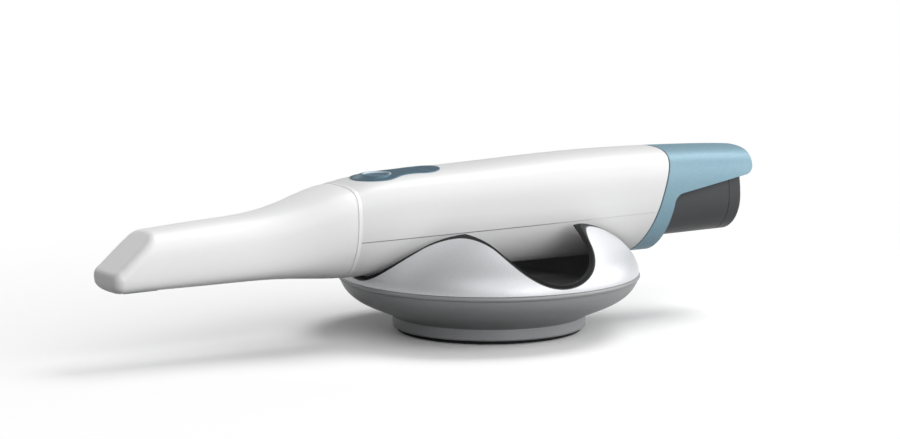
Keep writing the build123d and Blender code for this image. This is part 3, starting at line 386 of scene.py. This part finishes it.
blue_hood = pearl_blue("blue_pearl_hood", colour(131, 163, 177), colour(116, 148, 163), 0.3, 0.5, seam_shade)
blue_panel = pearl_blue("blue_pearl_panel", colour(96, 126, 142), colour(80, 110, 126), 0.5, 0.36)
print("blue paints", blue_hood.name, blue_panel.name)

# %% [markdown]
# ## Light guide
#
# The ring round the scan button is a light guide. On the side of the tail and the far
# flank it is coloured a pale milky white, which is a painted highlight. On the side of
# the tip it takes the colour of the paint beside it.

# %% Paint the highlight on the light guide
HIGHLIGHT_ALONG = 0.8
HIGHLIGHT_ACROSS = 0.6
HIGHLIGHT_FROM = -0.4
HIGHLIGHT_TO = 0.4

ring_low, ring_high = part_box("light_ring")
ring_radius = (ring_high[1] - ring_low[1]) / 2
guide_paint = Finish("light_guide_painted_highlight")
guide_cloud = guide_paint.noise(2 * MM)
along, across, _ = guide_paint.axes()
along = along - (ring_low[0] + ring_high[0]) / 2
across = across - (ring_low[1] + ring_high[1]) / 2
# painted highlight: the ring turns pale towards the tail and the far flank
highlight_side = (along * HIGHLIGHT_ALONG + across * HIGHLIGHT_ACROSS) * (1 / ring_radius)
painted_highlight_tone = guide_paint.blend(guide_cloud, colour(226, 238, 244), colour(206, 224, 232))
light_guide = guide_paint.surface(
    Base_Color=guide_paint.blend(guide_paint.rise(highlight_side, HIGHLIGHT_FROM, HIGHLIGHT_TO), colour(112, 140, 155), painted_highlight_tone),
    Roughness=guide_cloud * 0.1 + 0.2,
    Coat_Weight=0.4,
    Coat_Roughness=0.08,
)
print("light guide", light_guide.name, "radius", round(ring_radius / MM, 1), "mm")

# %% [markdown]
# ## Grey battery and other dark plastics
#
# The battery slides out under the hood. Its case is a dark grey plastic with a
# coarser grain than the shells, for grip. The foot pad, the optics' mounts, the chips
# and the sleeve of the cells are made the same way, each with its own grain.

# %% Grain the dark plastics
DARK_SPECULAR = 0.15


def grained_plastic(name, light, deep, gloss, size, depth):
    """Plastic between two tones, with a grain of this size and depth in metres."""
    finish = Finish(name)
    grain = finish.noise(size)
    cloud = finish.noise(20 * MM)
    return finish.surface(
        Base_Color=finish.blend(cloud, light, deep),
        Roughness=cloud * 0.1 + gloss,
        Specular_IOR_Level=DARK_SPECULAR,
        Normal=finish.bump(grain, depth),
    )


battery_grey = grained_plastic(
    "battery_grey_grain", colour(84, 85, 87), colour(74, 75, 77), 0.36, 0.6 * MM, 8 * MICRON
)
black_plastic = grained_plastic(
    "black_optics_plastic", colour(38, 38, 40), colour(30, 30, 32), 0.5, 0.8 * MM, 10 * MICRON
)
foot_rubber = grained_plastic(
    "foot_black_rubber", colour(34, 34, 35), colour(26, 26, 27), 0.7, 0.7 * MM, 20 * MICRON
)
chip_black = grained_plastic(
    "chip_black_resin", colour(30, 30, 32), colour(24, 24, 26), 0.45, 0.4 * MM, 6 * MICRON
)
cell_sleeve = grained_plastic(
    "cell_blue_sleeve", colour(58, 92, 120), colour(46, 78, 104), 0.3, 4 * MM, 10 * MICRON
)
dark_plastics = (battery_grey, black_plastic, foot_rubber, chip_black, cell_sleeve)
print("dark plastics", [plastic.name for plastic in dark_plastics])

# %% [markdown]
# ## Saddle liner
#
# The liner of the stand is soft and dark, so that the scanner neither slides nor gets
# scratched. Its lip, which is folded out over the rim, is black, the edge is dark grey
# and the inside a lighter grey than the rubber is, as painted light that lifts the shade
# inside the saddle. Which of them a point lies on is read from the surface normal: away
# from the stand's upright axis on the lip, towards it inside. The edge only exists above
# the lowest point of the rim.

# %% Mould the saddle liner
LIP_BLACK = colour(20, 20, 21)
RIM_GREY = colour(48, 48, 49)

lining = Finish("saddle_soft_rubber")
level = lining.place((1, 1, 0))
spoke = lining.node("ShaderNodeVectorMath", {"operation": "NORMALIZE"}, {"Vector": level})
facing = lining.node("ShaderNodeNewGeometry", {}, {}, "Normal")
turned = {"Vector": spoke, "Vector_001": facing}
away = lining.node("ShaderNodeVectorMath", {"operation": "DOT_PRODUCT"}, turned, "Value")
_, _, height = lining.axes()
not_inside = lining.rise(away, -0.64, -0.5)
above_dips = lining.rise(height, 25.5 * MM, 26.5 * MM)
lip = lining.rise(away, 0.4, 0.55)
grain = lining.noise(0.5 * MM)
smear = lining.noise(15 * MM)
# painted light: the inside is coloured lighter than the dark rubber, to lift its shade
inside_painted_light = lining.blend(smear, colour(126, 126, 127), colour(110, 110, 111))
rim_tone = lining.blend(not_inside * above_dips, inside_painted_light, RIM_GREY)
saddle_dark = lining.surface(
    Base_Color=lining.blend(lip, rim_tone, LIP_BLACK),
    Roughness=smear * 0.1 + 0.62,
    Specular_IOR_Level=DARK_SPECULAR,
    Normal=lining.bump(grain, 10 * MICRON),
)
print("liner", saddle_dark.name)

# %% [markdown]
# ## Silver lacquer
#
# The stand is plastic too, sprayed silver. Aluminium flake lies nearly flat in the
# lacquer, so it mirrors a little of the room: bright where it faces a lamp, dark where
# it faces away. The bowl underneath has much less flake, and its darker grey is painted
# shade for the underside of the stand.
#
# The dark edge of the saddle looks wider than the liner's lip, so half a millimetre of
# the shell beside the lip is coloured in the same black. The wavy rim is a round dip
# between two rounded crests, and it is the same along both axes of the stand, so the
# depth below it follows from two circles.

# %% Mask the strip along the rim
DIP_RADIUS = 24 * MM
DIP_LEVEL = 25.8 * MM
CREST_RADIUS = 8.5 * MM
CREST_PLACE = 29.5 * MM
STRIP_WIDTH = 0.5 * MM
STRIP_SOLID = 0.8

wave_lean = math.asin(CREST_PLACE / (DIP_RADIUS + CREST_RADIUS))
wave_turn = DIP_RADIUS * math.sin(wave_lean)
crest_level = DIP_LEVEL + DIP_RADIUS - (DIP_RADIUS + CREST_RADIUS) * math.cos(wave_lean)
crest_top = crest_level + CREST_RADIUS
print("crests at", round(crest_top / MM, 1), "mm, dips at", round(DIP_LEVEL / MM, 1), "mm")


def rim_strip(finish):
    """1 on the strip of the shell beside the lip, 0 further down."""
    east, north, up = finish.axes()
    strips = []
    for side in (abs(east), abs(north)):
        side = side.math("MINIMUM", side, CREST_PLACE)
        below_dip = finish.reach(side, up - (DIP_LEVEL + DIP_RADIUS)) - DIP_RADIUS
        over_centre = side.math("MAXIMUM", up - crest_level, 0)
        below_crest = CREST_RADIUS - finish.reach(side - CREST_PLACE, over_centre)
        on_crest = side.math("GREATER_THAN", side, wave_turn)
        depth = below_dip * (1 - on_crest) + below_crest * on_crest
        strips.append(1 - finish.rise(depth, STRIP_SOLID * STRIP_WIDTH, STRIP_WIDTH))
    return strips[0].math("MAXIMUM", *strips)


# %% Spray the silver lacquer
SILVER_FLAKE = 1 / 3200


def silver_lacquer(name, light, deep, metal, gloss, strip=None):
    """Flake lacquer between two greys, and black where `strip` is 1."""
    finish = Finish(name)
    sparkle = finish.flakes(SILVER_FLAKE)
    drift = finish.noise(50 * MM)
    tone = finish.blend(sparkle * 0.5 + drift * 0.3, light, deep)
    if strip:
        black = strip(finish)
        tone = finish.blend(black, tone, LIP_BLACK)
        metal = metal * (1 - black)
    return finish.surface(
        Base_Color=tone,
        Metallic=metal,
        Roughness=sparkle * 0.06 + gloss,
        Normal=finish.bump(sparkle, 1 * MICRON),
    )


stand_silver = silver_lacquer(
    "stand_silver_lacquer", colour(216, 217, 220), colour(202, 203, 206), 0.45, 0.4, rim_strip
)
# painted shade: the bowl is a darker grey than the stand's silver, for the shade under the stand
bowl_shaded_silver = silver_lacquer("bowl_painted_shade_lacquer", colour(152, 153, 155), colour(140, 141, 143), 0.1, 0.38)
print("silver", stand_silver.name, bowl_shaded_silver.name)

# %% [markdown]
# ## Metals, glass and electronics inside
#
# These show when the tip is off, when the battery is out and in cut-away pictures.
# Machined alloy has fine turning lines, steel is smoother, the mirror is silvered on
# its front face, and the lenses carry a thin coating.

# %% Finish the metals
TURNING_STRETCH = (1, 9, 9)


def machined(name, light, deep, gloss, pitch, depth):
    """Bare metal with lines along it, this far apart and this deep in metres."""
    finish = Finish(name)
    lines = finish.noise(pitch, where=finish.place(TURNING_STRETCH))
    return finish.surface(
        Base_Color=finish.blend(lines, light, deep),
        Metallic=1.0,
        Roughness=lines * 0.15 + gloss,
        Normal=finish.bump(lines, depth),
    )


alloy = machined("machined_alloy", colour(196, 198, 200), colour(170, 172, 175), 0.3, 4 * MM, 6 * MICRON)
steel = machined("ground_steel", colour(176, 178, 182), colour(150, 152, 156), 0.2, 3 * MM, 3 * MICRON)
ballast_iron = machined("cast_ballast", colour(98, 96, 94), colour(78, 76, 75), 0.5, 6 * MM, 30 * MICRON)
copper_coil = machined("wound_copper", colour(196, 120, 78), colour(150, 84, 50), 0.3, 1 * MM, 30 * MICRON)
contact_gold = machined("contact_gold", colour(224, 184, 104), colour(206, 164, 84), 0.2, 2 * MM, 2 * MICRON)
shield_can = machined(
    "tinned_shield", colour(186, 188, 190), colour(168, 170, 172), 0.28, 3 * MM, 4 * MICRON
)
metals = (alloy, steel, ballast_iron, copper_coil, contact_gold, shield_can)
print("metals", [metal.name for metal in metals])

# %% Finish the glass and the mirror
pane = Finish("coated_optical_glass")
film = pane.noise(12 * MM)
optical_glass = pane.surface(
    Base_Color=pane.blend(film, colour(226, 236, 240), colour(214, 226, 236)),
    Roughness=film * 0.02 + 0.02,
    Transmission_Weight=0.92,
    IOR=1.52,
)

silvering = Finish("front_silvered_mirror")
haze = silvering.noise(6 * MM, detail=3)
front_mirror = silvering.surface(
    Base_Color=silvering.blend(haze, colour(236, 238, 240), colour(226, 229, 232)),
    Metallic=1.0,
    Roughness=haze * 0.03 + 0.02,
)
print("optics", optical_glass.name, front_mirror.name)

# %% [markdown]
# A circuit board is glass fibre under green lacquer. Copper tracks run along it at
# right angles, and the lacquer is a shade lighter where it lies over them.

# %% Etch the circuit board
TRACK_SCALE = 260
TRACK_WIDTH = 0.09

etched = Finish("green_circuit_board")
tracks = etched.node(
    "ShaderNodeTexBrick",
    {"offset": 0.37, "squash": 1.6},
    {
        "Vector": etched.place(),
        "Scale": TRACK_SCALE,
        "Mortar Size": TRACK_WIDTH,
        "Color1": (0, 0, 0, 1),
        "Color2": (0, 0, 0, 1),
        "Mortar": (1, 1, 1, 1),
    },
    "Color",
)
track = etched.node("ShaderNodeSeparateColor", {}, {"Color": tracks}, "Red")
circuit_board = etched.surface(
    Base_Color=etched.blend(track, colour(26, 78, 52), colour(58, 118, 78)),
    Roughness=0.42 - track * 0.12,
    Normal=etched.bump(track, 30 * MICRON),
)
print("board", circuit_board.name)

# %% [markdown]
# ## Dressing the solids
#
# Each solid names a finish slot in its record, and the slot names the material. The
# tip gets a white of its own, because it is made of a plastic that stands an
# autoclave and is a little lighter and more matt than the handle, and the bowl gets
# its darker silver, whose grey is painted shade.

# %% Give every solid its material
finishes = {
    "white_shell": white_shell,
    "white_ring": white_ring,
    "blue_hood": blue_hood,
    "blue_panel": blue_panel,
    "light_guide": light_guide,
    "battery_grey": battery_grey,
    "stand_silver": stand_silver,
    "saddle_dark": saddle_dark,
    "foot_rubber": foot_rubber,
    "ballast_iron": ballast_iron,
    "black_plastic": black_plastic,
    "optical_glass": optical_glass,
    "front_mirror": front_mirror,
    "alloy": alloy,
    "steel": steel,
    "copper_coil": copper_coil,
    "circuit_board": circuit_board,
    "chip_black": chip_black,
    "shield_can": shield_can,
    "contact_gold": contact_gold,
    "cell_sleeve": cell_sleeve,
}
own_finish = {"tip_shell": tip_white, "stand_lower_shell": bowl_shaded_silver}
slot_of = {part["node"]: part["material_slot"] for part in frame["record"]["subparts"]}

for name, solid in nodes.items():
    material = own_finish.get(name) or finishes[slot_of[name]]
    solid.data.materials.clear()
    solid.data.materials.append(material)
print("dressed", len(nodes), "solids in", len(finishes) + len(own_finish), "finishes")
